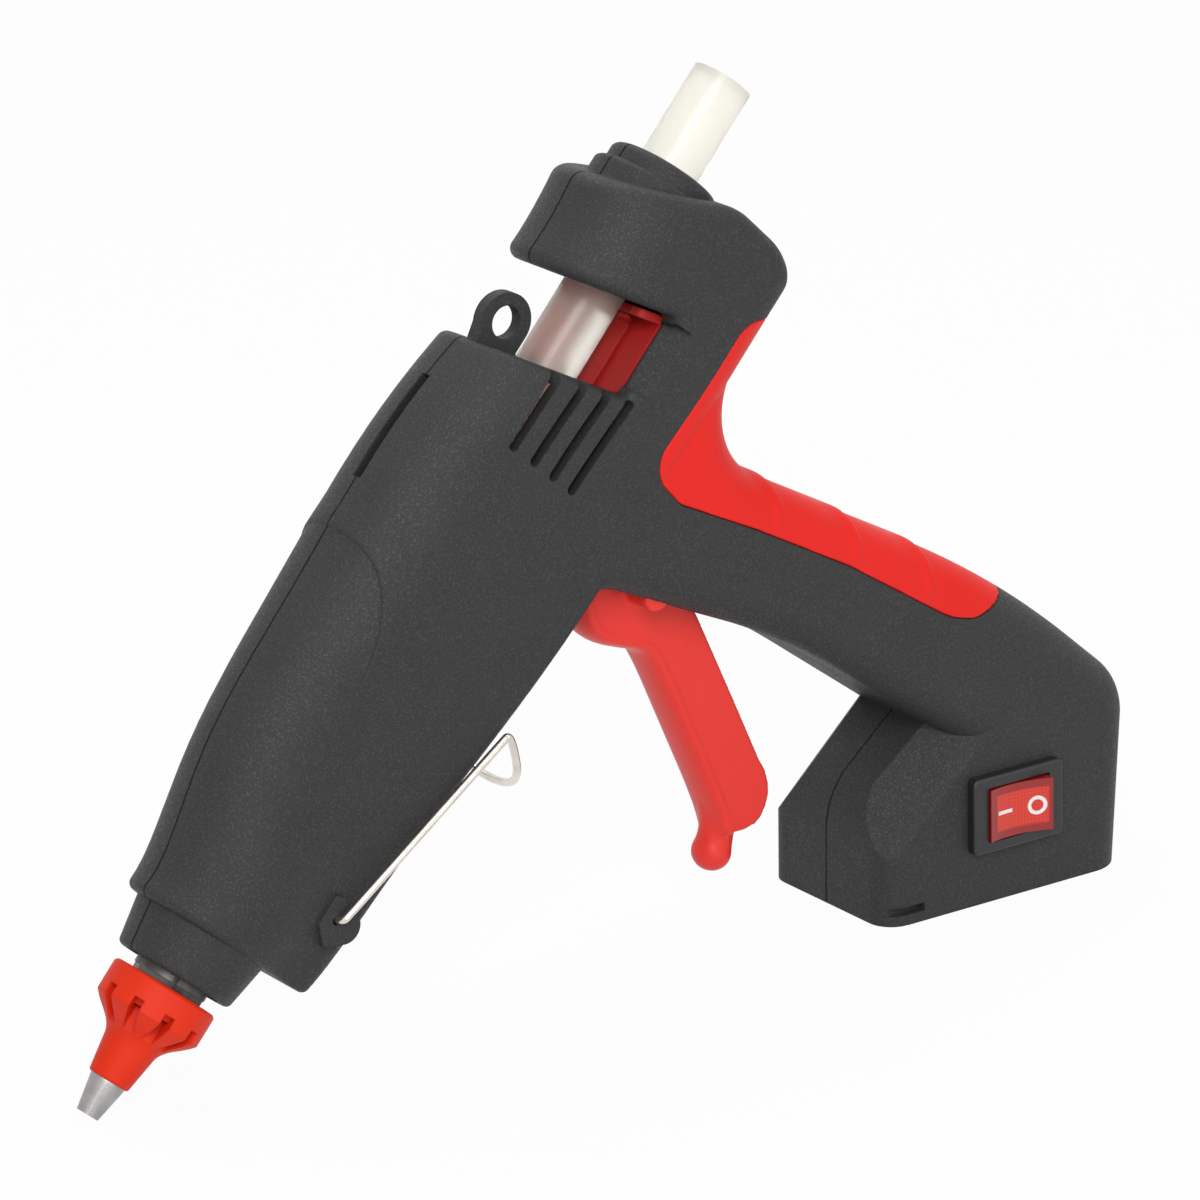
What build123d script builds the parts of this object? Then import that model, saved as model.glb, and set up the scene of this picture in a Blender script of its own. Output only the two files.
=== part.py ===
"""Trigger-fed hot glue gun for 11 mm sticks, standing on its foot and its nozzle.

The origin is the middle of the foot's flat underside: +X points to the nozzle, +Y to the
left side of the gun and +Z up. Most shapes are drawn in the gun's own side view, where s
runs back from the nozzle's tip along the barrel and w rises square to the barrel.
"""
import math
import os

from build123d import *

os.makedirs("parts", exist_ok=True)

# Stance: the foot lies flat on the floor and the nozzle's lower rim touches it
barrel_pitch = 49.15
foot_length = 58.0
foot_reach = 104.65
foot_half_width = 18.6

# Glue stick and its bore
stick_diameter = 11.2
stick_length = 130.0
stick_tail = 19.2
stick_play = 0.4

# Nozzle
tip_radius = 2.1
tip_flare = 3.3
tip_length = 6.8
orifice_radius = 0.9
valve_bore = 2.3
shroud_length = 18.9
shroud_radius = 10.0
shroud_waist = 4.9
shroud_lip = 3.9
shroud_wall = 0.5
shroud_slots = 10
slot_width = 2.0
slot_front = 15.4
slot_length = 6.1
hex_flats = 12.6
hex_gap = 2.3
spigot_radius = 3.6

# Housing
wall = 2.4
collar_length = 9.0
collar_nose = 11.1
collar_root = 12.6
barrel_front_round = 1.5
girth_at = 110.0
rear_at = 149.0
head_at = 165.0
head_rear = 178.0
tail_at = 199.0
window_front = 152.4
window_length = 16.4
window_lean = 14.0
sill_level = -6.8
vent_levels = (8.3, 2.7, -2.6, -7.7)
vent_height = 2.0
vent_front = 134.5
ring_radius = 12.2
ring_step = 1.6
ring_reach = 189.5
tail_reach = 193.0
lip_round = 2.0
head_round = 3.0

# Cross-sections of the barrel and head: crown height, crown radius, keel half width, belly height, corner
front_form = (15.7, 13.0, 9.6, -20.3, 2.0)
girth_form = (22.6, 15.5, 13.6, -26.2, 3.0)
rear_form = (19.6, 15.5, 15.4, -26.6, 4.5)
head_form = (16.7, 17.1, 16.6, -27.4, 8.0)
tail_form = (16.2, 17.1, 16.6, -27.8, 8.0)

# Handle and foot
neck_half_width = 15.0
neck_level = -30.0
throat_level = -25.4
handle_front_round = 6.0
handle_back_round = 8.0
throat_radius = 9.5
saddle_radius = 14.5
back_bow = 200.0
heel_radius = 13.0
heel_height = 35.3
toe_height = 21.9
toe_slope = 0.84
toe_round = 5.0
toe_brow = 15.0
grip_thickness = 1.8

# Trigger and feed
pivot_s = 130.0
pivot_w = -40.0
pivot_radius = 2.0
pivot_length = 21.0
running_gap = 0.05
sliding_gap = 0.4
seam = 0.1
trigger_half_width = 6.5
trigger_gap = 0.7
arm_lean = 11.0
trigger_round = 4.0
hub_radius = 6.2
shield_radius = 11.0
feed_arm = 27.0
trigger_swing = 20.0
drive_radius = 1.5
arm_half_width = 3.0
carriage_radius = 8.5
carriage_front = 129.0
plate_thickness = 1.6
flange_half_width = 12.0
flange_front = 154.0
flange_level = -7.2
nub_radius = 3.6
nub_half_width = 4.2

# Heater
chamber_radius = 9.8
chamber_start = 42.0
chamber_length = 61.0
sleeve_wall = 1.9

# Switch
bezel_length = 21.0
bezel_height = 15.0
bezel_thickness = 2.2
switch_depth = 13.0
rocker_length = 13.6
rocker_height = 10.2
rocker_tilt = 6.0

# Stand, eye and gland
stand_wire = 1.5
stand_reach = 42.7
stand_half_width = 13.7
stand_s = 50.7
stand_w = -14.9
ear_reach = 12.3
loop_bend = 3.0
eye_s = 153.8
eye_w = 14.6
eye_radius = 3.0
eye_rim = 2.3
eye_thickness = 2.6
gland_bore = 3.6
gland_height = 13.0

# Fasteners
screw_head = 2.9
screw_shank = 1.4

# The gun's side view as a frame in space
pitch = math.radians(barrel_pitch)
back = Vector(-math.cos(pitch), 0, math.sin(pitch))
up = Vector(math.sin(pitch), 0, math.cos(pitch))
left = Vector(0, 1, 0)
floor_run = foot_reach / math.cos(pitch)
tip = Vector(foot_length / 2 + floor_run, 0, 0) + up * tip_radius
barrel_axis = Axis(tuple(tip), tuple(back))


def spot(s, w, y=0.0):
    """Point in space at s behind the tip, w above the barrel's axis and y to the left."""
    return tip + back * s + up * w + left * y


def side(y=0.0):
    """Side-view plane: its x is s, its y is w and it faces left."""
    return Plane(origin=spot(0, 0, y), x_dir=back, z_dir=left)


def across(s):
    """Plane square to the barrel: its x is left, its y is w and it faces the nozzle."""
    return Plane(origin=spot(s, 0), x_dir=left, z_dir=-back)


def from_floor(x, z):
    """Side-view coordinates of a point x ahead of the foot's middle and z above the floor."""
    offset = Vector(x, 0, z) - tip
    return (offset.dot(back), offset.dot(up))


# Stations along the barrel
shroud_front = tip_length
shroud_rear = shroud_front + shroud_length
collar_front = shroud_rear + hex_gap
barrel_front = collar_front + collar_length
stick_radius = stick_diameter / 2
stick_bore = stick_radius + stick_play
window_rear = window_front + window_length
foot_front = foot_length / 2


def swell(t):
    """Barrel section between its front face (0) and its girth (1); the crown is a parabola."""
    form = [a + (b - a) * t for a, b in zip(front_form, girth_form)]
    form[0] = girth_form[0] - (girth_form[0] - front_form[0]) * (1 - t) ** 2
    return form


def trunk_section(s, form, inset):
    """Round crown, S-curved flanks and a flat keel with rounded corners."""
    crown, radius, keel, belly, corner = form
    crown, radius, keel, belly = crown - inset, radius - inset, keel - inset, belly + inset
    corner = max(corner - inset, 0.6)
    spring = crown - radius
    turn = belly + corner
    reach = (spring - turn) / 2
    diagonal = radius * math.sqrt(0.5)
    nip = corner * (1 - math.sqrt(0.5))
    with BuildSketch(across(s)) as section:
        with BuildLine():
            ThreePointArc((0, crown), (diagonal, spring + diagonal), (radius, spring))
            Bezier((radius, spring), (radius, spring - reach), (keel, turn + reach), (keel, turn))
            ThreePointArc((keel, turn), (keel - nip, belly + nip), (keel - corner, belly))
            Line((keel - corner, belly), (corner - keel, belly))
            ThreePointArc((corner - keel, belly), (nip - keel, belly + nip), (-keel, turn))
            Bezier((-keel, turn), (-keel, turn + reach), (-radius, spring - reach), (-radius, spring))
            ThreePointArc((-radius, spring), (-diagonal, spring + diagonal), (0, crown))
        make_face()
    return section.sketch


def trunk_sections(inset, start):
    """Sections of barrel and head, from a start station back to the tail."""
    span = girth_at - barrel_front
    rows = [(start, swell((start - barrel_front) / span))]
    for share in (0.33, 0.66, 1.0):
        rows.append((barrel_front + share * span, swell(share)))
    rows += [(rear_at, rear_form), (head_at, head_form), (head_rear, head_form), (tail_at, tail_form)]
    return [trunk_section(s, form, inset) for s, form in rows]


def leaning_plane(s):
    """Plane across the barrel, leaning as the window's ends do; it faces the nozzle."""
    angle = math.radians(window_lean)
    return Plane(origin=spot(s, 0), x_dir=left, z_dir=-back * math.cos(angle) - up * math.sin(angle))


def flank(sign, inset=0.0):
    """Side face of handle and foot, which widens evenly from the neck to the floor."""
    foot_level = from_floor(0, 0)[1]
    spread = math.atan((foot_half_width - neck_half_width) / (neck_level - foot_level))
    outward = left * (sign * math.cos(spread)) + up * math.sin(spread)
    origin = spot(0, neck_level, sign * neck_half_width) - outward * inset
    return Plane(origin=origin, x_dir=back, z_dir=outward)


def revolve_round_barrel(points):
    """Side-view outline above the barrel's axis, ready to be turned round it."""
    with BuildSketch(side()) as outline:
        with BuildLine():
            Polyline(*points, close=True)
        make_face()
    return outline.sketch


def handle_profile():
    """Side view of the handle from under the barrel down to the heel."""
    heel = Vector(*from_floor(-foot_length / 2, 0))
    heel_top = heel + Vector(0.8, 0.6) * heel_height
    sole = (125.0, from_floor(0, 0)[1] - (125.0 - from_floor(0, 0)[0]) * math.tan(pitch))
    with BuildSketch(side()) as profile:
        with BuildLine():
            front = FilletPolyline(
                (114, throat_level), (124.6, throat_level), (138.2, -71), (142.3, -122),
                radius=(throat_radius, 150))
            Polyline(front @ 1, (sole[0], -122), sole, (heel.X, heel.Y))
            rear = FilletPolyline(
                (heel.X, heel.Y), (heel_top.X, heel_top.Y), (171.0, -109), (155.2, -28.2), (183, -28.2),
                radius=(heel_radius, back_bow, saddle_radius))
            Polyline(rear @ 1, (183, -12), (114, -12), front @ 0)
        make_face()
    return profile.sketch


def local(point):
    """Side-view coordinates and side distance of a point in space."""
    offset = point - tip
    return (offset.dot(back), offset.dot(up), abs(point.Y))


def side_edges(part, s_range, w_range):
    """Edges along the flanks of the handle within a box of the side view."""
    found = ShapeList()
    for edge in part.edges():
        s, w, y = local(edge @ 0.5)
        along = abs((edge % 0.5).Y) < 0.5
        if along and y > 5 and s_range[0] < s < s_range[1] and w_range[0] < w < w_range[1]:
            found.append(edge)
    return found


# Outer form of the housing, before it is hollowed and parted
def rim(part, plane, least_w):
    """Edges of a part that lie in a plane and above a level of the side view."""
    found = ShapeList()
    for edge in part.edges():
        ends = [edge @ t for t in (0.0, 0.5, 1.0)]
        flat = all(abs((point - plane.origin).dot(plane.z_dir)) < 0.01 for point in ends)
        if flat and local(edge @ 0.5)[1] > least_w:
            found.append(edge)
    return found


with BuildPart() as trunk:
    loft(trunk_sections(0.0, barrel_front))
    with BuildSketch(side()) as rear_trim:
        with BuildLine():
            FilletPolyline(
                (181.8, 25), (183.6, 16), (193.1, -7), (192.4, -20), (183.8, -34), radius=(4, 14, 12))
            Polyline((183.8, -34), (212, -34), (212, 25), (181.8, 25))
        make_face()
    extrude(amount=30, both=True, mode=Mode.SUBTRACT)
    fillet(trunk.faces().sort_by(Axis(tuple(tip), tuple(-back)))[-1].edges(), barrel_front_round)
    tail_edges = trunk.edges().filter_by(lambda e: local(e @ 0.5)[0] > 181 and e.geom_type != GeomType.LINE)
    fillet(tail_edges, head_round)
    with BuildSketch(side()) as window_profile:
        with BuildLine():
            lean = math.tan(math.radians(window_lean))
            FilletPolyline(
                (window_front - 26 * lean, 26), (window_front - sill_level * lean, sill_level),
                (window_rear - sill_level * lean, sill_level), (window_rear - 26 * lean, 26),
                radius=(0, 1.5, 1.5, 0), close=True)
        make_face()
    extrude(amount=40, both=True, mode=Mode.SUBTRACT)
    fillet(rim(trunk.part, leaning_plane(window_rear), sill_level + 2), lip_round)

with BuildPart() as handle:
    extrude(handle_profile(), amount=25, both=True)
    split(bisect_by=flank(1), keep=Keep.BOTTOM)
    split(bisect_by=flank(-1), keep=Keep.BOTTOM)
    for sign in (1, -1):
        cheek = [spot(114, -25, sign * 13.2), spot(142, -28, sign * 15.3), spot(125, -60, sign * 15.9)]
        facing = (cheek[1] - cheek[0]).cross(cheek[2] - cheek[0])
        facing = facing * (sign if facing.Y > 0 else -sign)
        split(bisect_by=Plane(origin=cheek[0], z_dir=facing), keep=Keep.BOTTOM)
    fillet(side_edges(handle.part, (118, 143), (-121, -25)), handle_front_round)
    fillet(side_edges(handle.part, (150, 190), (-160, -25)), handle_back_round)

with BuildPart() as toe:
    with BuildSketch(Plane.XZ) as toe_profile:
        with BuildLine():
            toe_top = toe_height + toe_slope * (foot_front - 10)
            toe_line = FilletPolyline(
                (foot_front, 0), (foot_front, toe_height), (10, toe_top), radius=toe_brow)
            Polyline(toe_line @ 1, (0, toe_top), (-8, toe_height), (-8, 0), (foot_front, 0))
        make_face()
    extrude(amount=25, both=True)
    split(bisect_by=flank(1), keep=Keep.BOTTOM)
    split(bisect_by=flank(-1), keep=Keep.BOTTOM)
    toe_side = neck_half_width + (foot_half_width - neck_half_width) * 0.82
    toe_nip = toe_round * (1 - math.sqrt(0.5))
    for sign in (1, -1):
        with BuildSketch(Plane.XY) as toe_corner:
            with BuildLine():
                ThreePointArc(
                    (foot_front, sign * (toe_side - toe_round)),
                    (foot_front - toe_nip, sign * (toe_side - toe_nip)),
                    (foot_front - toe_round, sign * toe_side))
                Polyline(
                    (foot_front - toe_round, sign * toe_side), (foot_front - toe_round, sign * 24),
                    (foot_front + 4, sign * 24), (foot_front + 4, sign * (toe_side - toe_round)),
                    (foot_front, sign * (toe_side - toe_round)))
            make_face()
        extrude(amount=60, mode=Mode.SUBTRACT)
    for sign in (1, -1):
        facet = Plane(origin=(foot_front, sign * 11.3, 18.3), z_dir=(0.517, sign * 0.650, 0.557))
        split(bisect_by=facet, keep=Keep.BOTTOM)

with BuildPart() as outer:
    add(trunk.part)
    add(handle.part)
    add(toe.part)
    with BuildSketch(side()) as collar_profile:
        with BuildLine():
            FilletPolyline(
                (collar_front, 0), (collar_front, collar_nose), (barrel_front + 1, collar_root + 0.2),
                radius=1.2)
            Polyline((barrel_front + 1, collar_root + 0.2), (barrel_front + 1, 0), (collar_front, 0))
        make_face()
    revolve(axis=barrel_axis)
    with BuildSketch(side()) as ring_profile:
        with BuildLine():
            FilletPolyline(
                (180, 0), (180, ring_radius), (ring_reach, ring_radius),
                (ring_reach, ring_radius - ring_step), (tail_reach, ring_radius - ring_step),
                (tail_reach, 0), radius=(0, 1.0, 0, 1.4))
            Line((tail_reach, 0), (180, 0))
        make_face()
    revolve(axis=barrel_axis)

# Soft grip: a saddle let into the back of the handle


def grip_region(margin):
    """Side view of the grip's outline."""
    with BuildSketch(side()) as region:
        with BuildLine():
            FilletPolyline(
                (181, -20), (146.5, -20), (145, -30), (149.8, -48), (154.7, -70), (158.6, -97),
                (161.2, -102.5), (175, -112), (200, -112), (200, -40), (181, -40),
                radius=(7, 6, 3, 30, 40, 14, 8, 0, 0, 0, 0),
                close=True)
        make_face()
        if margin:
            offset(amount=margin)
    return region.sketch


def saddle(depth, margin):
    """All that lies outside a core of the given depth, within the grip's outline."""
    sunk = up * depth - back * (depth * 1.2)
    with BuildPart() as core_handle:
        extrude(Pos(*sunk) * handle_profile(), amount=25, both=True)
        split(bisect_by=flank(1, depth), keep=Keep.BOTTOM)
        split(bisect_by=flank(-1, depth), keep=Keep.BOTTOM)
        fillet(side_edges(core_handle.part, (148, 190), (-159, -24)), handle_back_round - depth)
    with BuildPart() as core_trunk:
        loft(trunk_sections(depth, barrel_front))
    with BuildPart() as skin:
        extrude(grip_region(margin), amount=30, both=True)
        add([core_handle.part, core_trunk.part], mode=Mode.SUBTRACT)
    return skin.part


# Hollows of the housing
bulkhead_front = 106.0
nose_bore = 9.3
sleeve_radius = stick_radius + 0.35 + sleeve_wall
boss_radius = 4.6
head_seat = 7.0
screw_spots = [
    (58.5, -16.2), (103, -20), (136, 14.5), (184, -18), (147.5, -82), from_floor(17, 9), from_floor(-17, 27)]
trigger_slot = [(116.8, -16), (141.5, -16), (141.5, -46), (138.6, -74), (116.8, -74)]
window_well = [(144, -22), (171, -22), (171, -4), (144, -4)]
handle_well = [
    (141, -16), (152, -22), (154.5, -50), (164, -106), (158, -128), (147, -128), (143, -90), (141, -60)]
foot_well = [
    from_floor(24, 3), from_floor(24, 8), from_floor(14, 24), from_floor(2, 34), from_floor(-8, 40),
    from_floor(-24, 32), from_floor(-25, 3)]
wells = (
    (trigger_slot, trigger_half_width + trigger_gap), (window_well, 12.4), (handle_well, 8.5),
    (foot_well, 14.6))

# Switch seat on the left flank of the foot and gland seat in the heel
switch_spot = from_floor(-0.7, 18.1)
flank_slope = (foot_half_width - neck_half_width) / (neck_level - from_floor(0, 0)[1])
switch_side = neck_half_width + (neck_level - switch_spot[1]) * flank_slope
panel = Plane(origin=spot(*switch_spot, switch_side), x_dir=(-1, 0, 0), z_dir=flank(1).z_dir)
heel_out = (back * 0.6 - up * 0.8).normalized()
heel_foot = from_floor(-foot_length / 2, 0)
gland_spot = spot(heel_foot[0] + 0.8 * gland_height, heel_foot[1] + 0.6 * gland_height)
gland_seat = Plane(origin=gland_spot, x_dir=left, z_dir=heel_out)

with BuildPart() as barrel_hollow:
    loft(trunk_sections(wall, barrel_front + wall))
    split(bisect_by=leaning_plane(window_front - wall), keep=Keep.TOP)

with BuildPart() as bosses:
    with BuildSketch(side()):
        with Locations(*screw_spots):
            Circle(boss_radius)
    extrude(amount=25, both=True)

with BuildPart() as hollows:
    add(barrel_hollow.part)
    for outline, half_width in wells:
        with BuildSketch(side()):
            with BuildLine():
                Polyline(*outline, close=True)
            make_face()
        extrude(amount=half_width, both=True)
    with BuildSketch(across(bulkhead_front)):
        Rectangle(60, 80)
    extrude(amount=-wall, mode=Mode.SUBTRACT)
    add(bosses.part, mode=Mode.SUBTRACT)

with BuildPart() as stand_ears:
    for sign in (1, -1):
        with BuildSketch(side(sign * 8)):
            with BuildLine():
                Polyline(
                    (stand_s + 3.7, stand_w + 3.0), (stand_s - 2.3, stand_w + 3.0),
                    (stand_s - 5.1, stand_w - 0.5), (stand_s - 3.1, stand_w - 3.7),
                    (stand_s + 2.7, stand_w - 3.1), (stand_s + 4.3, stand_w + 0.9), close=True)
            make_face()
            with Locations((stand_s - 0.1, stand_w - 2.3)):
                Circle(3.2)
        extrude(amount=sign * (ear_reach - 8))

with BuildPart() as hanging_eye:
    with BuildSketch(side()):
        with BuildLine():
            Polyline(
                (eye_s - 8, eye_w + 3.0), (eye_s, eye_w + eye_radius + eye_rim),
                (eye_s, eye_w - eye_radius - eye_rim), (eye_s - 8, eye_w - eye_radius - eye_rim), close=True)
        make_face()
        with Locations((eye_s, eye_w)):
            Circle(eye_radius + eye_rim)
    extrude(amount=eye_thickness)

with BuildPart() as openings:
    with BuildSketch(across(collar_front - 1)):
        Circle(nose_bore)
    extrude(amount=collar_front - 1 - chamber_start)
    with BuildSketch(across(bulkhead_front - 1)):
        Circle(sleeve_radius + seam)
    extrude(amount=-wall - 2)
    with BuildSketch(across(carriage_front)):
        Circle(carriage_radius + sliding_gap)
    extrude(amount=carriage_front - window_front - 3)
    with BuildSketch(across(window_front)):
        Circle(stick_bore)
    extrude(amount=-60)
    for sign in (1, -1):
        with BuildSketch(side(sign * 11.5)):
            with Locations(*[((vent_front + 154) / 2, level) for level in vent_levels]):
                SlotOverall(154 - vent_front, vent_height)
        extrude(amount=sign * 14)
        with BuildSketch(across(window_front + 3.4)):
            with BuildLine():
                Polyline(
                    (sign * 11.8, sill_level), (sign * 20, sill_level + 0.1), (sign * 20, sill_level - 6.4),
                    close=True)
            make_face()
        extrude(amount=-13.8)
        with BuildSketch(side(sign * 9.3)):
            with Locations((stand_s, stand_w)):
                Circle(stand_wire / 2 + running_gap)
        extrude(amount=sign * 8)
        with BuildSketch(Plane.XY.offset(2.0)):
            with Locations((foot_front - 3.5, sign * (foot_half_width - 0.2))):
                Rectangle(11, 4)
        extrude(amount=1.6)
    with BuildSketch(side()):
        with BuildLine():
            Polyline((117, 25), (138.5, 25), (138.5, 18.8), (117, 21.0), close=True)
        make_face()
    extrude(amount=1.1, both=True)
    with BuildSketch(side()):
        with Locations((eye_s, eye_w)):
            Circle(eye_radius)
    extrude(amount=eye_thickness)
    with BuildSketch(side()):
        with Locations((pivot_s, pivot_w)):
            Circle(pivot_radius + running_gap)
    extrude(amount=pivot_length / 2, both=True)
    with BuildSketch(panel):
        Rectangle(bezel_length - 1.8, bezel_height - 1.8)
    extrude(amount=-6)
    with BuildSketch(gland_seat):
        Circle(6.4)
    extrude(amount=-8)

with BuildPart() as housing:
    add(outer.part)
    add([saddle(grip_thickness + seam, seam), hollows.part], mode=Mode.SUBTRACT)
    add([stand_ears.part, hanging_eye.part])
    add(openings.part, mode=Mode.SUBTRACT)

parting = Plane(origin=(0, 0, 0), x_dir=(1, 0, 0), z_dir=(0, 1, 0))

with BuildPart() as left_shell:
    add(housing.part)
    split(bisect_by=parting, keep=Keep.TOP)
    with BuildSketch(side()):
        with Locations(*screw_spots):
            Circle(screw_shank + running_gap)
    extrude(amount=8, mode=Mode.SUBTRACT)

with BuildPart() as screw_ways:
    with BuildSketch(side()):
        with Locations(*screw_spots):
            Circle(screw_shank + 0.2)
    extrude(amount=-head_seat - 1)
    with BuildSketch(side(-head_seat)):
        with Locations(*screw_spots):
            Circle(screw_head + 0.2)
    extrude(amount=-25)

with BuildPart() as right_shell:
    add(housing.part)
    split(bisect_by=parting, keep=Keep.BOTTOM)
    add(screw_ways.part, mode=Mode.SUBTRACT)

with BuildPart() as soft_grip:
    add(saddle(grip_thickness, 0.0))
    add(outer.part, mode=Mode.INTERSECT)

# Nozzle group
with BuildPart() as nozzle_tip:
    revolve(revolve_round_barrel([
        (0, orifice_radius), (0, tip_radius), (tip_length - 0.4, tip_flare), (9, tip_flare), (10.2, 3.9),
        (17, 3.9), (18, 5.4), (25.2, 5.4), (25.2, spigot_radius + running_gap),
        (17.5, spigot_radius + running_gap), (17.5, valve_bore), (4.2, valve_bore), (2.6, orifice_radius)]),
        axis=barrel_axis)

with BuildPart() as nozzle_shroud:
    with BuildSketch(side()):
        with BuildLine():
            Polyline((shroud_front, tip_flare + seam), (shroud_front, shroud_lip - 0.3))
            Line((shroud_front, shroud_lip - 0.3), (shroud_front + 0.3, shroud_lip))
            Line((shroud_front + 0.3, shroud_lip), (13.6, shroud_waist))
            flare = Bezier(
                (13.6, shroud_waist), (16.2, shroud_waist + 0.4), (17.2, 8.2), (19.6, shroud_radius))
            Polyline(
                flare @ 1, (shroud_rear - 0.5, shroud_radius), (shroud_rear, shroud_radius - 0.5),
                (shroud_rear, 8.3), (20.4, 8.3), (20.4, 5.5), (17.9, 5.5), (16.9, 4.0), (10.1, 4.0),
                (8.9, tip_flare + seam), (shroud_front, tip_flare + seam))
        make_face()
    revolve(axis=barrel_axis)
    with BuildSketch(across(slot_front)):
        with PolarLocations(8.5, shroud_slots, start_angle=90):
            Rectangle(5, slot_width)
    extrude(amount=-slot_length, mode=Mode.SUBTRACT)

hex_front = shroud_rear + 0.1
with BuildPart() as hex_nose:
    with BuildSketch(across(hex_front)):
        RegularPolygon(hex_flats / 2, 6, major_radius=False, rotation=30)
    extrude(amount=-4.4)
    revolve(revolve_round_barrel([
        (17.7, 0), (17.7, spigot_radius), (hex_front + 1, spigot_radius), (hex_front + 1, 7),
        (chamber_start, 7), (chamber_start, 0)]), axis=barrel_axis)
    with BuildSketch(across(10)):
        Circle(valve_bore)
    extrude(amount=-50, mode=Mode.SUBTRACT)

with BuildPart() as nose_insulator:
    revolve(revolve_round_barrel([
        (collar_front + 0.3, 7.5), (collar_front + 0.3, nose_bore - seam),
        (chamber_start - 0.1, nose_bore - seam), (chamber_start - 0.1, 7 + seam), (30.5, 7 + seam),
        (30.5, 7.5)]), axis=barrel_axis)

with BuildPart() as valve_ball:
    with Locations(spot(5.4, 0)):
        Sphere(1.9)

# Melting group
chamber_rear = chamber_start + chamber_length
chamber_bore = stick_radius + 0.35
with BuildPart() as melt_chamber:
    revolve(revolve_round_barrel([
        (chamber_start, 0), (chamber_start, chamber_radius - 1), (chamber_start + 1, chamber_radius),
        (chamber_rear, chamber_radius), (chamber_rear, 0)]), axis=barrel_axis)
    with BuildSketch(across(65)):
        with Locations((0, -11.8)):
            Rectangle(14, 7.6)
    extrude(amount=-32)
    with BuildSketch(across(70)):
        with Locations((0, 10.4)):
            Rectangle(8, 8)
    extrude(amount=-14)
    revolve(revolve_round_barrel([
        (chamber_start - 1, 0), (chamber_start - 1, valve_bore), (58, valve_bore), (66, chamber_bore),
        (96, chamber_bore), (96, sleeve_radius + running_gap),
        (chamber_rear + 1, sleeve_radius + running_gap),
        (chamber_rear + 1, 0)]), axis=barrel_axis, mode=Mode.SUBTRACT)
    with BuildSketch(across(60)):
        with Locations((0, -12.7)):
            Rectangle(11.4, 2.4)
        with Locations((0, 11.8)):
            Circle(2.3)
    extrude(amount=-45, mode=Mode.SUBTRACT)

with BuildPart() as heater_plate:
    with BuildSketch(across(65.5)):
        with Locations((0, -12.7)):
            Rectangle(11.2, 2.2)
    extrude(amount=-31)

with BuildPart() as thermal_cutout:
    with BuildSketch(across(71)):
        with Locations((0, 11.8)):
            Circle(2.2)
    extrude(amount=-12)
    with BuildSketch(across(67)):
        with Locations((0, 11.8)):
            Circle(0.6)
    extrude(amount=-20)

with BuildPart() as inlet_sleeve:
    revolve(revolve_round_barrel([
        (96.1, chamber_bore), (96.1, sleeve_radius), (bulkhead_front + wall + 0.1, sleeve_radius),
        (bulkhead_front + wall + 0.1, 9.6), (bulkhead_front + wall + 1.9, 9.6),
        (bulkhead_front + wall + 1.9, sleeve_radius), (118.5, sleeve_radius), (119, sleeve_radius - 0.5),
        (119, chamber_bore + 0.6), (118, chamber_bore)]), axis=barrel_axis)

with BuildPart() as chamber_mount:
    revolve(revolve_round_barrel([
        (chamber_rear, sleeve_radius + seam), (chamber_rear, 11.2), (bulkhead_front, 11.2),
        (bulkhead_front, sleeve_radius + seam)]), axis=barrel_axis)

stick_rear = tail_reach + stick_tail
with BuildPart() as glue_stick:
    with BuildSketch(across(stick_rear)):
        Circle(stick_radius)
    extrude(amount=stick_length)

# Feed carriage, its jaw and its spring
drive_s = pivot_s + feed_arm * math.sin(math.radians(arm_lean))
drive_w = pivot_w + feed_arm * math.cos(math.radians(arm_lean))
trough_bore = stick_radius + 0.5
plate_rear = window_rear - 0.5
cheek_gap = arm_half_width + sliding_gap
cheek_side = cheek_gap + 2.4
with BuildPart() as feed_carriage:
    with BuildSketch(across(carriage_front)):
        Circle(carriage_radius)
        with Locations((0, 8)):
            Rectangle(30, 20, mode=Mode.SUBTRACT)
    extrude(amount=carriage_front - plate_rear + 1)
    with BuildSketch(leaning_plane(plate_rear)):
        with Locations((0, -2.0)):
            RectangleRounded(14.4, 14.8, 3)
        with Locations((0, -5.6)):
            RectangleRounded(2 * flange_half_width, 7.6, 1.6)
    extrude(amount=plate_thickness)
    with BuildSketch(across(flange_front)):
        with Locations((0, flange_level - 0.85)):
            Rectangle(2 * flange_half_width, 1.7)
    extrude(amount=flange_front - plate_rear - 1.5)
    with BuildSketch(side()):
        with BuildLine():
            Polyline(
                (carriage_front, -5), (drive_s + 5.5, -5), (drive_s + 5.5, drive_w - 3.6),
                (drive_s + 4, drive_w - 5), (carriage_front, drive_w - 5), close=True)
        make_face()
    extrude(amount=cheek_side, both=True)
    with BuildSketch(side()):
        with BuildLine():
            Polyline(
                (carriage_front + 1.8, -9), (drive_s + 8, -9), (drive_s + 8, drive_w - 7),
                (carriage_front + 1.8, drive_w - 7), close=True)
        make_face()
    extrude(amount=cheek_gap, both=True, mode=Mode.SUBTRACT)
    with BuildSketch(side()):
        with Locations((drive_s, drive_w + 0.3)):
            SlotOverall(2 * drive_radius + 1.9, 2 * drive_radius + 0.6, rotation=90)
    extrude(amount=cheek_side + 1, both=True, mode=Mode.SUBTRACT)
    with BuildSketch(across(carriage_front - 1)):
        Circle(trough_bore)
    extrude(amount=-60, mode=Mode.SUBTRACT)
    with BuildSketch(side()):
        with Locations((drive_s, -7)):
            Rectangle(7.6, 5)
    extrude(amount=2.8, both=True, mode=Mode.SUBTRACT)

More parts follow.
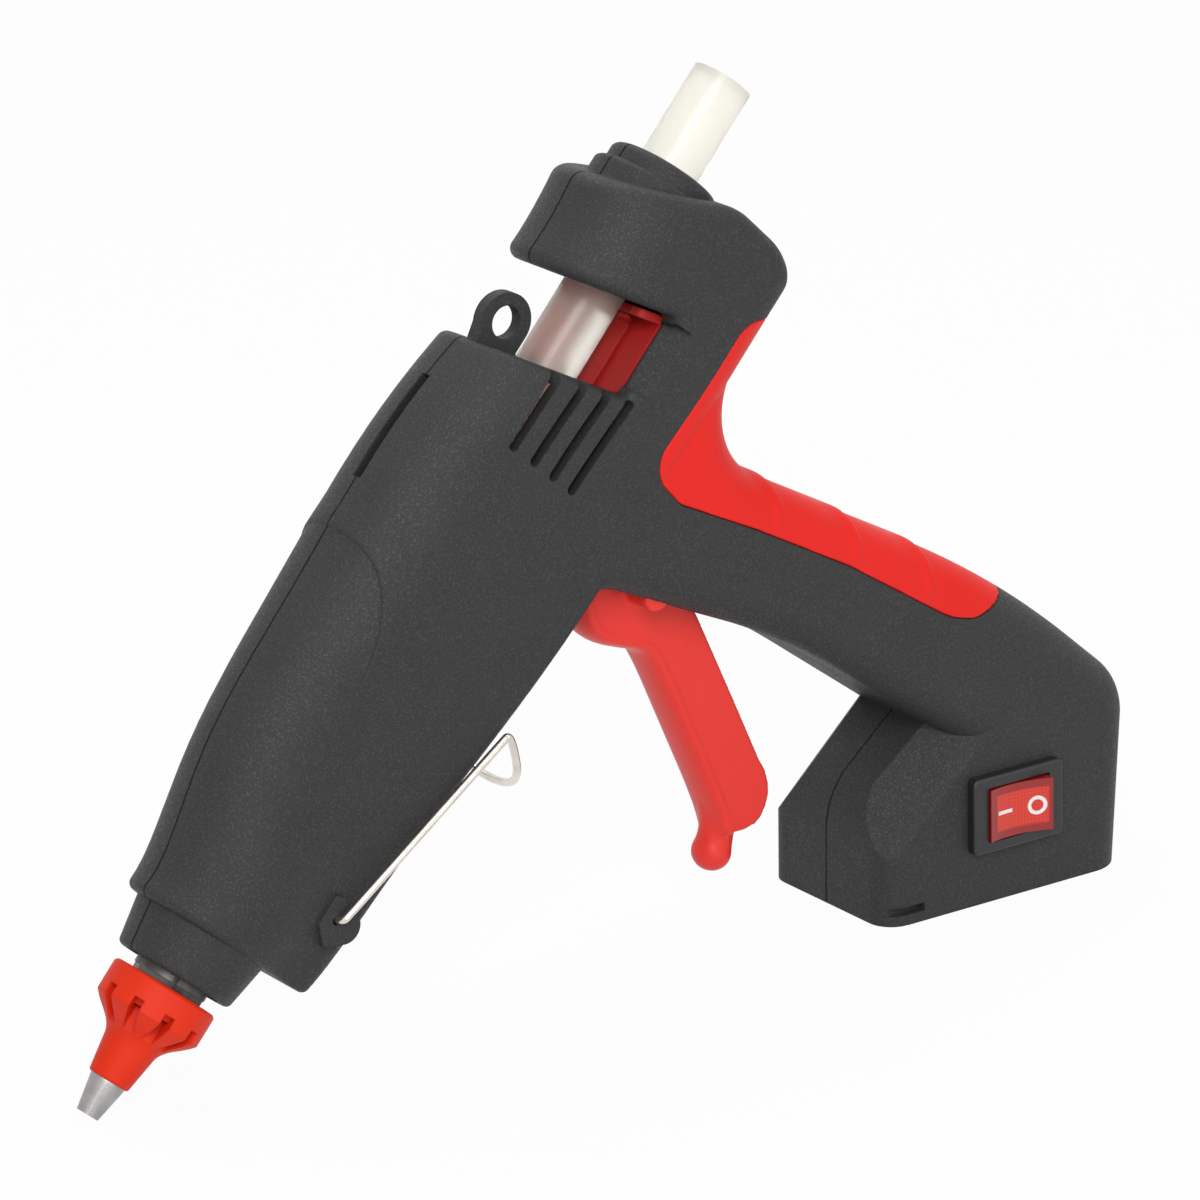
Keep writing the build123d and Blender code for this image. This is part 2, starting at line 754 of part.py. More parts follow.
with BuildPart() as stick_jaw:
    with BuildSketch(side()):
        with BuildLine():
            teeth = [(drive_s - 3.6, -8.4)]
            for k in range(5):
                teeth.append((drive_s - 3.6 + 1.44 * k, -6.5))
                teeth.append((drive_s - 3.6 + 1.44 * k + 1.2, -5.75))
            teeth += [(drive_s + 3.6, -6.5), (drive_s + 3.6, -8.4)]
            Polyline(*teeth, close=True)
        make_face()
    extrude(amount=2.6, both=True)


def coil(start, end, w, mean_radius, wire, turns):
    """Open coil along the barrel between two stations, made of half-turn arcs."""
    halves = 2 * turns
    step = (end - start - wire) / halves
    with BuildPart() as spring:
        with BuildLine() as path:
            for k in range(halves):
                sign = 1 if k % 2 == 0 else -1
                s0 = start + wire / 2 + k * step
                ThreePointArc(
                    spot(s0, w + sign * mean_radius), spot(s0 + step / 2, w, sign * mean_radius),
                    spot(s0 + step, w - sign * mean_radius))
        with BuildSketch(Plane(origin=path.line @ 0, z_dir=path.line % 0)):
            Circle(wire / 2)
        sweep(path=path.line)
    return spring.part


with BuildPart() as return_spring:
    add(coil(bulkhead_front + wall + 0.1, carriage_front - 0.1, -14.6, 3.2, 0.9, 6))

with BuildPart() as valve_spring:
    add(coil(7.5, 17.5, 0, 1.7, 0.5, 5))


# Trigger
def on_trigger(radius, angle):
    """Side-view point at a polar place about the trigger's pivot."""
    a = math.radians(angle)
    return (pivot_s + radius * math.cos(a), pivot_w + radius * math.sin(a))


with BuildPart() as trigger_lever:
    with BuildSketch(side()):
        with BuildLine():
            FilletPolyline(
                (122.2, -46.2), (113.4, -70.8), (106.4, -85.8), (103.9, -89.8), (109.4, -92.4),
                (115.8, -89.8), (131.4, -54), (134, -44), radius=(0, 60, 8, 0, 3.5, 6.5, 20, 0), close=True)
        make_face()
    extrude(amount=trigger_half_width, both=True)
    front_edges = trigger_lever.edges().filter_by(lambda e: abs((e % 0.5).Y) < 0.1)
    front_edges = front_edges.filter_by(lambda e: local(e @ 0.5)[0] < 110 + 0.43 * (local(e @ 0.5)[1] + 88))
    front_edges = front_edges.filter_by(lambda e: local(e @ 0.5)[1] > -89)
    fillet(front_edges, trigger_round)

with BuildPart() as trigger_nub:
    with BuildSketch(side()):
        with Locations((100.5, -91.7)):
            Circle(nub_radius)
    extrude(amount=nub_half_width, both=True)
    fillet(trigger_nub.edges().filter_by(GeomType.CIRCLE), nub_radius - 0.4)

with BuildPart() as trigger:
    add(trigger_lever.part)
    with BuildSketch(side()):
        with Locations((pivot_s, pivot_w)):
            Circle(hub_radius)
    extrude(amount=trigger_half_width, both=True)
    with BuildSketch(side()):
        with BuildLine():
            ThreePointArc(
                on_trigger(shield_radius, 236), on_trigger(shield_radius, 165), on_trigger(shield_radius, 95))
            Polyline(on_trigger(shield_radius, 95), (pivot_s, pivot_w), on_trigger(shield_radius, 236))
        make_face()
    extrude(amount=trigger_half_width, both=True)
    with BuildSketch(side()):
        with BuildLine():
            Polyline((100.6, -88.4), (106.9, -85.4), (108.4, -91.6), (101.4, -95.0), close=True)
        make_face()
    extrude(amount=nub_half_width - 0.6, both=True)
    add(trigger_nub.part)
    with BuildSketch(side()):
        with Locations(((pivot_s + drive_s) / 2, (pivot_w + drive_w) / 2)):
            SlotCenterToCenter(feed_arm, 6.4, rotation=90 - arm_lean)
    extrude(amount=arm_half_width, both=True)
    with BuildSketch(side()):
        with Locations((pivot_s, pivot_w)):
            Circle(pivot_radius + running_gap)
        with Locations((drive_s, drive_w)):
            Circle(drive_radius + running_gap)
    extrude(amount=20, both=True, mode=Mode.SUBTRACT)

with BuildPart() as trigger_pin:
    with BuildSketch(side()):
        with Locations((pivot_s, pivot_w)):
            Circle(pivot_radius)
    extrude(amount=pivot_length / 2 - 0.1, both=True)

with BuildPart() as drive_pin:
    with BuildSketch(side()):
        with Locations((drive_s, drive_w)):
            Circle(drive_radius)
    extrude(amount=cheek_side + 0.4, both=True)

# Switch
with BuildPart() as switch_body:
    with BuildSketch(panel):
        RectangleRounded(bezel_length, bezel_height, 1.2)
    extrude(amount=bezel_thickness)
    fillet(switch_body.faces().sort_by(Axis(panel.origin, panel.z_dir))[-1].edges(), 0.6)
    with BuildSketch(panel):
        Rectangle(bezel_length - 2.2, bezel_height - 2.2)
    extrude(amount=-switch_depth)
    with BuildSketch(panel.offset(bezel_thickness)):
        Rectangle(rocker_length + 0.8, rocker_height + 0.6)
    extrude(amount=-7, mode=Mode.SUBTRACT)
    with BuildSketch(Plane(origin=panel.from_local_coords((0, 0, 0)), x_dir=panel.x_dir, z_dir=panel.y_dir)):
        Circle(1.0 + running_gap)
    extrude(amount=rocker_height / 2 + 1.2, both=True, mode=Mode.SUBTRACT)

swing = -math.radians(rocker_tilt)


def rocked(x, z):
    """Point of the rocker's profile at its tilt with the front end pressed in."""
    return (x * math.cos(swing) + z * math.sin(swing), z * math.cos(swing) - x * math.sin(swing))


rocker_plane = Plane(origin=panel.origin, x_dir=panel.x_dir, z_dir=-panel.y_dir)
with BuildPart() as switch_rocker:
    with BuildSketch(rocker_plane):
        with BuildLine():
            half = rocker_length / 2
            crest = ThreePointArc(
                rocked(-half, bezel_thickness + 1.4), rocked(0, bezel_thickness + 0.2),
                rocked(half, bezel_thickness + 1.4))
            Polyline(
                crest @ 1, rocked(half - 0.2, -1.0), rocked(2.6, -3.4), rocked(-2.6, -3.4),
                rocked(0.2 - half, -1.0), crest @ 0)
        make_face()
    extrude(amount=rocker_height / 2, both=True)
    with BuildSketch(rocker_plane):
        Circle(1.0)
    extrude(amount=rocker_height / 2 + 1.1, both=True)

with BuildPart() as switch_terminals:
    with BuildSketch(panel.offset(-switch_depth)):
        with Locations((-6, 0), (0, 0), (6, 0)):
            Rectangle(0.8, 4.8)
    extrude(amount=-6.5)

# Cord gland, stand and screws
with BuildPart() as cord_gland:
    with BuildSketch(gland_seat):
        Circle(8)
    extrude(amount=2)
    with BuildSketch(gland_seat):
        Circle(6.3)
    extrude(amount=-5)
    with BuildSketch(gland_seat.offset(3)):
        Circle(gland_bore)
    extrude(amount=-12, mode=Mode.SUBTRACT)


def rounded_path(points, radii):
    """Straight runs joined by tangent arcs through a list of points in space."""
    with BuildLine() as path:
        last = points[0]
        for before, corner, after, radius in zip(points, points[1:], points[2:], radii):
            inward = (before - corner).normalized()
            outward = (after - corner).normalized()
            half_angle = math.acos(inward.dot(outward)) / 2
            setback = radius / math.tan(half_angle)
            bisector = (inward + outward).normalized()
            middle = corner + bisector * (radius / math.sin(half_angle) - radius)
            Line(last, corner + inward * setback)
            ThreePointArc(corner + inward * setback, middle, corner + outward * setback)
            last = corner + outward * setback
        Line(last, points[-1])
    return path.line


stand_half = [
    (stand_s, stand_w, 9.6), (stand_s, stand_w, stand_half_width), (92.5, -23.7, stand_half_width),
    (89.3, -35.2, 8.0)]
stand_points = [spot(*p) for p in stand_half] + [spot(s, w, -y) for s, w, y in reversed(stand_half)]
with BuildPart() as wire_stand:
    wire_path = rounded_path(stand_points, (1.2, loop_bend, loop_bend, loop_bend, loop_bend, 1.2))
    with BuildSketch(Plane(origin=wire_path @ 0, z_dir=wire_path % 0)):
        Circle(stand_wire / 2)
    sweep(path=wire_path)

with BuildPart() as shell_screws:
    with BuildSketch(side(-head_seat)):
        with Locations(*screw_spots):
            Circle(screw_head)
    extrude(amount=-2)
    with BuildSketch(side(-head_seat)):
        with Locations(*screw_spots):
            Circle(screw_shank)
    extrude(amount=head_seat + 7.5)

nodes = {
    "left_shell": left_shell, "right_shell": right_shell, "soft_grip": soft_grip,
    "nozzle_tip": nozzle_tip, "nozzle_shroud": nozzle_shroud, "hex_nose": hex_nose,
    "nose_insulator": nose_insulator, "valve_ball": valve_ball, "valve_spring": valve_spring,
    "melt_chamber": melt_chamber, "heater_plate": heater_plate, "thermal_cutout": thermal_cutout,
    "inlet_sleeve": inlet_sleeve, "chamber_mount": chamber_mount, "glue_stick": glue_stick,
    "feed_carriage": feed_carriage, "stick_jaw": stick_jaw, "return_spring": return_spring,
    "trigger": trigger, "trigger_pin": trigger_pin, "drive_pin": drive_pin,
    "switch_body": switch_body, "switch_rocker": switch_rocker, "switch_terminals": switch_terminals,
    "cord_gland": cord_gland, "wire_stand": wire_stand, "shell_screws": shell_screws,
}
for label, node in nodes.items():
    node.part.label = label
    export_step(node.part, f"parts/{label}.step")
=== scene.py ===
"""Hot glue gun: finishes, modelled pieces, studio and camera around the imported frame."""
import math

import bmesh
import bpy
from mathutils import Matrix, Vector
from mathutils.bvhtree import BVHTree


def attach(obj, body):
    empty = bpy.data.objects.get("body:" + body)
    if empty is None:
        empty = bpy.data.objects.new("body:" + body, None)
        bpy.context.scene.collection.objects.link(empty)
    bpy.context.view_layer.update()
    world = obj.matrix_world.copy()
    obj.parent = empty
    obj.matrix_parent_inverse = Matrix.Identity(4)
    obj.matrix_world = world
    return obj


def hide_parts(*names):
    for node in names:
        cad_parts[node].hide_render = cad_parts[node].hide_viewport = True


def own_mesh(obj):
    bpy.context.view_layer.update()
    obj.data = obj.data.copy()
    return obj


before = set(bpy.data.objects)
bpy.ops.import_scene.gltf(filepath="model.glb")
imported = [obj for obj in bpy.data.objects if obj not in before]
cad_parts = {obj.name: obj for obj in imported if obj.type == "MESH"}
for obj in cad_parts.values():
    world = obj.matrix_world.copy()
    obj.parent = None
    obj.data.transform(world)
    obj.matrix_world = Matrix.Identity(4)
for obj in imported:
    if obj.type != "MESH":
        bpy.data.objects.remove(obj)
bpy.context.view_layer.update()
scene = bpy.context.scene
scene.view_settings.view_transform = "Standard"

mm = 0.001

# The gun's side view, as in the part's source: s runs back from the nozzle, w rises square to the barrel
pitch = math.radians(49.15)
half_foot, foot_reach, tip_radius = 29.0 * mm, 104.65 * mm, 2.1 * mm
back = Vector((-math.cos(pitch), 0, math.sin(pitch)))
up = Vector((math.sin(pitch), 0, math.cos(pitch)))
left = Vector((0, 1, 0))
tip = Vector((half_foot + foot_reach / math.cos(pitch), 0, 0)) + up * tip_radius


def spot(s, w, y=0.0):
    """Point in metres from side-view millimetres."""
    return tip + back * (s * mm) + up * (w * mm) + left * (y * mm)


def side_view(point):
    """Side-view millimetres of a point."""
    offset = point - tip
    return offset.dot(back) / mm, offset.dot(up) / mm


class Value:
    """A shader number; arithmetic on it adds Math nodes."""

    def __init__(self, tree, socket):
        self.tree = tree
        self.socket = socket

    def math(self, operation, *values):
        sockets = dict(enumerate((self,) + values))
        return self.tree.node("ShaderNodeMath", {"operation": operation}, sockets).value()

    def __add__(self, other):
        return self.math("ADD", other)

    def __radd__(self, other):
        return self.math("ADD", other)

    def __sub__(self, other):
        return self.math("SUBTRACT", other)

    def __rsub__(self, other):
        return (self * -1).math("ADD", other)

    def __mul__(self, other):
        return self.math("MULTIPLY", other)

    def __rmul__(self, other):
        return self.math("MULTIPLY", other)

    def __abs__(self):
        return self.math("ABSOLUTE")

    def most(self, other):
        return self.math("MAXIMUM", other)

    def ramp(self, low, high, to_low=0.0, to_high=1.0):
        """Smooth step from one range to another."""
        sockets = {0: self, 1: low, 2: high, 3: to_low, 4: to_high}
        return self.tree.node("ShaderNodeMapRange", {"interpolation_type": "SMOOTHSTEP"}, sockets).value()

    def band(self, half, edge):
        """1 within half of zero, and 0 past a soft edge."""
        return abs(self).ramp(half, half + edge, 1.0, 0.0)


class Node:
    """A shader node and its outputs."""

    def __init__(self, tree, node):
        self.tree = tree
        self.outputs = node.outputs

    def value(self, name=0):
        return Value(self.tree, self.outputs[name])


class Tree:
    """The nodes of a material or of the world."""

    def __init__(self, tree):
        self.tree = tree

    def node(self, kind, settings=None, sockets=None):
        """Adds any node: settings first, then the values or links of its sockets."""
        node = self.tree.nodes.new(kind)
        for key, value in (settings or {}).items():
            setattr(node, key, value)
        for key, value in (sockets or {}).items():
            self.feed(node.inputs[key], value)
        return Node(self, node)

    def feed(self, socket, value):
        """Sets a socket or links it; a node gives its first output."""
        if isinstance(value, Node):
            value = value.outputs[0]
        if isinstance(value, Value):
            value = value.socket
        if isinstance(value, bpy.types.NodeSocket):
            self.tree.links.new(value, socket)
        else:
            socket.default_value = value

    def seen(self):
        """1 for what the eye sees, also mirrored or through glass, and 0 for what lights the object."""
        path = self.node("ShaderNodeLightPath")
        mirrored, through = path.value("Is Glossy Ray"), path.value("Is Transmission Ray")
        return path.value("Is Camera Ray").most(mirrored).most(through)


class Finish(Tree):
    """A procedural material; constants go on the shader's own sockets."""

    def __init__(self, name, **constants):
        self.material = bpy.data.materials.new(name)
        self.material.use_nodes = True
        super().__init__(self.material.node_tree)
        self.shader = self.tree.nodes["Principled BSDF"]
        for socket, value in constants.items():
            self.shader.inputs[socket.replace("_", " ")].default_value = value
        self.where = self.node("ShaderNodeTexCoord").outputs["Object"]

    def noise(self, scale, detail=3.0, roughness=0.55, stretch=(1, 1, 1)):
        """Noise on object coordinates, in cycles a metre."""
        spread = self.node("ShaderNodeMapping", None, {"Vector": self.where, "Scale": stretch})
        return self.node("ShaderNodeTexNoise", None, {
            "Vector": spread, "Scale": scale, "Detail": detail, "Roughness": roughness}).value("Fac")

    def along(self, direction, origin=tip):
        """Distance of the surface point along a direction from an origin, in millimetres."""
        offset = self.node("ShaderNodeVectorMath", {"operation": "SUBTRACT"}, {
            0: self.where, 1: tuple(origin)})
        run = self.node("ShaderNodeVectorMath", {"operation": "DOT_PRODUCT"}, {
            0: offset, 1: tuple(Vector(direction) / mm)})
        return run.value("Value")

    def mix(self, factor, first, second):
        """Blend of two colours."""
        blend = self.node("ShaderNodeMix", {"data_type": "RGBA"}, {"Factor": factor, 6: first, 7: second})
        return blend.outputs[2]

    def colour(self, value):
        self.feed(self.shader.inputs["Base Color"], value)

    def rough(self, value):
        self.feed(self.shader.inputs["Roughness"], value)

    def bump(self, height, distance, strength=1.0, edge=0.0):
        """Relief from a height, 0 to 1; its distance and the radius that softens edges are in metres."""
        sockets = {"Height": height, "Distance": distance, "Strength": strength}
        if edge:
            sockets["Normal"] = self.node("ShaderNodeBevel", {"samples": 4}, {"Radius": edge})
        self.feed(self.shader.inputs["Normal"], self.node("ShaderNodeBump", None, sockets))


def rgb(r, g, b):
    return (r, g, b, 1.0)


white = rgb(1, 1, 1)


def moulded_black():
    """Spark-textured black housing with its parting line, and painted glints on its lighter flecks."""
    finish = Finish("moulded_black", IOR=1.5, Specular_IOR_Level=0.22)
    grain = finish.noise(2600, 2.0, 0.7)
    fleck_and_painted_glint = grain.ramp(0.50, 0.68)
    cloud = finish.noise(90, 3.0)
    seam = finish.along(left).band(0.10, 0.16)
    skin = finish.mix(cloud, rgb(0.028, 0.0285, 0.029), rgb(0.036, 0.0365, 0.037))
    # The lighter flecks in the colour are painted glints, sparkles of light on the spark texture; the same
    # flecks are also less rough
    skin = finish.mix(fleck_and_painted_glint * 0.5, skin, rgb(0.074, 0.075, 0.076))
    finish.colour(finish.mix(seam, skin, rgb(0.004, 0.004, 0.004)))
    finish.rough(0.60 - 0.26 * fleck_and_painted_glint + 0.2 * seam)
    finish.bump(0.20 * grain - 1.2 * seam, 0.6 * mm, 0.9, edge=0.5 * mm)
    return finish.material


def soft_red():
    """Soft red grip skin."""
    finish = Finish("soft_red", IOR=1.45, Specular_IOR_Level=0.22)
    grain = finish.noise(3200, 2.0)
    cloud = finish.noise(60, 2.0)
    finish.colour(finish.mix(cloud, rgb(0.79, 0.021, 0.014), rgb(0.74, 0.016, 0.012)))
    finish.rough(0.42 + 0.12 * grain)
    finish.bump(grain, 0.03 * mm, 0.6)
    return finish.material


def moulded_red(name, light, dark, roughness):
    """Satin red moulding."""
    finish = Finish(name, IOR=1.47, Specular_IOR_Level=0.3)
    grain = finish.noise(2200, 2.0)
    cloud = finish.noise(70, 2.0)
    finish.colour(finish.mix(cloud, light, dark))
    finish.rough(roughness + 0.10 * grain)
    finish.bump(grain, 0.05 * mm, 0.6, edge=0.5 * mm)
    return finish.material


def turned_metal(name, light, dark, roughness):
    """Metal with fine marks round the barrel's axis."""
    finish = Finish(name, Metallic=1.0)
    lines = finish.node("ShaderNodeTexNoise", {"noise_dimensions": "1D"}, {
        "W": finish.along(back) * 9.0, "Detail": 3.0}).value("Fac")
    cloud = finish.noise(180, 3.0)
    finish.colour(finish.mix((0.5 * lines + 0.5 * cloud).ramp(0.35, 0.7), light, dark))
    finish.rough(roughness + 0.18 * cloud + 0.06 * lines)
    finish.bump(lines, 0.03 * mm, 0.5)
    return finish.material


def plain_metal(name, light, dark, roughness):
    """Drawn or pressed metal with faint clouding."""
    finish = Finish(name, Metallic=1.0)
    cloud = finish.noise(260, 3.0)
    finish.colour(finish.mix(cloud.ramp(0.35, 0.7), light, dark))
    finish.rough(roughness + 0.12 * cloud)
    finish.bump(finish.noise(3000, 2.0), 0.02 * mm, 0.4)
    return finish.material


def dull(name, light, dark, roughness, grain_scale=1800, depth=0.06 * mm):
    """Matt moulded, fired or rubber surface."""
    finish = Finish(name, IOR=1.47)
    grain = finish.noise(grain_scale, 3.0)
    cloud = finish.noise(120, 2.0)
    finish.colour(finish.mix(cloud, light, dark))
    finish.rough(roughness + 0.12 * grain)
    finish.bump(grain, depth, 0.6)
    return finish.material


def waxy_glue():
    """Milky, half clear hot-melt stick."""
    finish = Finish("waxy_glue", IOR=1.45, Specular_IOR_Level=0.5, Transmission_Weight=0.86)
    cloud = finish.noise(110, 3.0)
    streak = finish.noise(420, 2.0, stretch=(0.5, 1, 0.5))
    finish.colour(finish.mix(cloud, rgb(0.97, 0.945, 0.86), rgb(0.94, 0.91, 0.82)))
    finish.rough(0.26 + 0.12 * streak)
    finish.bump(streak, 0.05 * mm, 0.3)
    return finish.material


def tinted_rocker():
    """Clear red rocker over a lit panel, with the line and circle of a mains switch."""
    middle = Vector((-0.7, 18.246, 18.1)) * mm
    across, rise = (-1, 0, 0), (0, -0.0205, 0.9998)
    half_length, half_height, panel_edge = 5.3, 3.3, 0.5
    line_at, line_half_length, line_edge = -3.5, 1.6, 0.15
    ring_at, ring_radius = 3.4, 1.5
    stroke, stroke_edge = 0.28, 0.14
    finish = Finish("tinted_rocker", IOR=1.5, Coat_Weight=0.2, Coat_Roughness=0.08)
    x = finish.along(across, middle)
    z = finish.along(rise, middle)
    panel = x.band(half_length, panel_edge) * z.band(half_height, panel_edge)
    weave = (x * 9.0).math("SINE") * 0.5 + (z * 9.0).math("SINE") * 0.5
    line = (x - line_at).band(line_half_length, line_edge) * z.band(stroke, stroke_edge)
    off = x - ring_at
    ring = ((off * off + z * z).math("SQRT") - ring_radius).band(stroke, stroke_edge)
    clear = finish.mix(weave.ramp(-0.8, 0.8), rgb(0.70, 0.034, 0.012), rgb(0.60, 0.020, 0.008))
    clear = finish.mix(panel, rgb(0.30, 0.006, 0.006), clear)
    finish.colour(finish.mix(line.most(ring), clear, rgb(0.84, 0.80, 0.80)))
    finish.rough(0.20 + 0.06 * panel)
    finish.bump(weave, 0.02 * mm, 0.3)
    return finish.material


finishes = {
    "black": moulded_black(),
    "soft_red": soft_red(),
    "red": moulded_red("moulded_red", rgb(0.83, 0.043, 0.032), rgb(0.78, 0.036, 0.027), 0.36),
    # The carriage's darker red is painted shade: the same red moulding, darkened for the shade inside the
    # head
    "shaded_red": moulded_red("carriage_red_painted_shade", rgb(0.46, 0.014, 0.012), rgb(0.40, 0.012, 0.010), 0.40),
    "shroud": moulded_red("silicone_red", rgb(0.76, 0.028, 0.002), rgb(0.70, 0.022, 0.001), 0.50),
    "nozzle": turned_metal("turned_nozzle", rgb(0.42, 0.41, 0.405), rgb(0.26, 0.25, 0.245), 0.26),
    "hex": plain_metal("darkened_steel", rgb(0.12, 0.115, 0.11), rgb(0.07, 0.066, 0.062), 0.42),
    "insulator": dull("fired_insulator", rgb(0.055, 0.010, 0.009), rgb(0.035, 0.006, 0.006), 0.62),
    "wire": plain_metal("plated_wire", rgb(0.74, 0.70, 0.64), rgb(0.62, 0.58, 0.52), 0.12),
    "steel": plain_metal("bright_steel", rgb(0.56, 0.56, 0.57), rgb(0.45, 0.45, 0.46), 0.28),
    "zinc": plain_metal("zinc_plate", rgb(0.36, 0.36, 0.37), rgb(0.27, 0.27, 0.28), 0.36),
    "alloy": dull("cast_alloy", rgb(0.55, 0.55, 0.56), rgb(0.46, 0.46, 0.47), 0.48, 900, 0.1 * mm),
    "ceramic": dull("fired_ceramic", rgb(0.80, 0.79, 0.75), rgb(0.74, 0.73, 0.69), 0.6),
    "silicone": dull("heat_silicone", rgb(0.50, 0.13, 0.08), rgb(0.44, 0.11, 0.07), 0.5),
    "glue": waxy_glue(),
    "switch": dull("switch_black", rgb(0.016, 0.016, 0.017), rgb(0.021, 0.021, 0.022), 0.30, 2600, 0.03 * mm),
    "rocker": tinted_rocker(),
    "brass": plain_metal("bare_brass", rgb(0.71, 0.55, 0.25), rgb(0.60, 0.45, 0.19), 0.30),
    "gland": dull("gland_rubber", rgb(0.019, 0.019, 0.020), rgb(0.026, 0.026, 0.027), 0.66),
}
worn_by = {
    "left_shell": "black", "right_shell": "black", "soft_grip": "soft_red", "shell_screws": "zinc",
    "nozzle_tip": "nozzle", "nozzle_shroud": "shroud", "hex_nose": "hex", "nose_insulator": "insulator",
    "valve_ball": "steel", "valve_spring": "steel", "melt_chamber": "alloy", "heater_plate": "ceramic",
    "thermal_cutout": "steel", "inlet_sleeve": "silicone", "chamber_mount": "insulator", "glue_stick": "glue",
    "feed_carriage": "shaded_red", "stick_jaw": "steel", "return_spring": "steel", "drive_pin": "steel",
    "trigger": "red", "trigger_pin": "hex", "switch_body": "switch", "switch_rocker": "rocker",
    "switch_terminals": "brass", "cord_gland": "gland", "wire_stand": "wire",
}
for name, finish in worn_by.items():
    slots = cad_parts[name].data.materials
    slots.clear()
    slots.append(finishes[finish])


def smoothstep(start, end, value):
    """0 at the start, 1 at the end and an even curve between; the end may be the lower."""
    share = min(max((value - start) / (end - start), 0.0), 1.0)
    return share * share * (3.0 - 2.0 * share)


def mesh_data(name, mesh):
    """Mesh data of a bmesh, which ends there."""
    data = bpy.data.meshes.new(name)
    mesh.to_mesh(data)
    mesh.free()
    return data


def place_object(name, data):
    """Links a new object, which starts at the origin."""
    piece = bpy.data.objects.new(name, data)
    scene.collection.objects.link(piece)
    return piece


def merged_copy(node):
    """Copy of a CAD node's mesh with its triangles joined."""
    mesh = bmesh.new()
    mesh.from_mesh(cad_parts[node].data)
    bmesh.ops.remove_doubles(mesh, verts=mesh.verts, dist=1e-6)
    return mesh


def skin_of(node):
    """A CAD node's surface, to find points on."""
    mesh = merged_copy(node)
    surface = BVHTree.FromBMesh(mesh)
    mesh.free()
    return surface


def add_worked_out(mesh, data, modifier=None, settings=None):
    """Adds to a bmesh what a curve or mesh gives once its bevel or a modifier is worked out."""
    holder = place_object("blank", data)
    if modifier:
        change = holder.modifiers.new("change", modifier)
        for key, value in settings.items():
            setattr(change, key, value)
    shape = bpy.data.meshes.new_from_object(holder.evaluated_get(bpy.context.evaluated_depsgraph_get()))
    mesh.from_mesh(shape)
    bpy.data.objects.remove(holder)
    bpy.data.meshes.remove(shape)


def modified(blank, modifier, **settings):
    """The bmesh that a modifier makes of another, which ends there."""
    data = mesh_data("blank", blank)
    mesh = bmesh.new()
    add_worked_out(mesh, data, modifier, settings)
    bpy.data.meshes.remove(data)
    return mesh


def even(blank, voxel):
    """Even mesh of one or more closed forms, fused."""
    return modified(blank, "REMESH", mode="VOXEL", voxel_size=voxel)


def add_sweep(mesh, route, radius, swell=None):
    """Adds a round bar along a smooth route, in metres; swell is a factor on its radius at each point."""
    path = bpy.data.curves.new("path", "CURVE")
    path.dimensions = "3D"
    path.twist_mode = "MINIMUM"
    line = path.splines.new("NURBS")
    line.points.add(len(route) - 1)
    for number, (point, place) in enumerate(zip(line.points, route)):
        point.co = (*place, 1.0)
        point.radius = swell[number] if swell else 1.0
    line.order_u = 3
    line.use_endpoint_u = True
    line.resolution_u = 16
    path.use_fill_caps = True
    path.bevel_depth = radius
    path.bevel_resolution = 6
    add_worked_out(mesh, path)
    bpy.data.curves.remove(path)


def add_plate(mesh, outline, half_width):
    """Adds a flat plate from its side-view outline and half width, in millimetres."""
    face = mesh.faces.new([mesh.verts.new(spot(s, w, -half_width)) for s, w in outline])
    grown = bmesh.ops.extrude_face_region(mesh, geom=[face])["geom"]
    far_side = [part for part in grown if isinstance(part, bmesh.types.BMVert)]
    bmesh.ops.translate(mesh, verts=far_side, vec=left * (2 * half_width * mm))


def soften(mesh, verts, passes):
    """Smooths some of a mesh's points."""
    for _ in range(passes):
        bmesh.ops.smooth_vert(
            mesh, verts=verts, factor=0.5, use_axis_x=True, use_axis_y=True, use_axis_z=True)


def close_up(mesh, gap):
    """Joins a mesh's points across a small gap and turns its faces outwards."""
    bmesh.ops.remove_doubles(mesh, verts=mesh.verts, dist=gap)
    bmesh.ops.recalc_face_normals(mesh, faces=mesh.faces)


def dress(name, mesh, finish, body, slot, *nodes):
    """Turns a bmesh into a smooth piece that rides on a body, and may stand for CAD nodes."""
    for face in mesh.faces:
        face.smooth = True
    data = mesh_data(name, mesh)
    data.materials.append(finishes[finish])
    piece = place_object(name, data)
    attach(piece, body)
    if nodes:
        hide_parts(*nodes)
    return piece


def crescent(s, w):
    """Height, 0 to 1, of the grip's three crescents in the side view: a slow rise and a sharp outer edge."""
    middles = ((150.2, -43.3), (154.3, -62.6), (157.5, -81.3))
    foot, crest, brink, rim = 6.3, 9.0, 9.3, 9.8
    end_s, full_s, end_w, full_w = 0.4, 2.6, 1.5, -1.5
    height = 0.0
    for middle_s, middle_w in middles:
        reach = math.hypot(s - middle_s, w - middle_w)
        ridge = smoothstep(foot, crest, reach) * smoothstep(rim, brink, reach)
        ends = smoothstep(end_s, full_s, s - middle_s) * smoothstep(end_w, full_w, w - middle_w)
        height = max(height, ridge * ends)
    return height


def make_grip():
    """Rubber skin of the handle, with the crescents raised on its outer face."""
    voxel, strayed, proud = 0.38 * mm, 0.04 * mm, 0.4 * mm
    core_s, core_w, core_lean = 146.0, -43.0, 0.19
    moulding = skin_of("soft_grip")
    mesh = even(merged_copy("soft_grip"), voxel)
    soften(mesh, mesh.verts, 3)
    for vert in mesh.verts:
        seat, _, _, gap = moulding.find_nearest(vert.co)
        if gap > strayed:
            vert.co = seat
    mesh.normal_update()
    for vert in mesh.verts:
        s, w = side_view(vert.co)
        core = spot(core_s - core_lean * (w - core_w), w)
        if vert.normal.dot(vert.co - core) > 0:
            vert.co += vert.normal * (proud * crescent(s, w))
    dress("grip_skin", mesh, "soft_red", "housing", "red_soft", "soft_grip")


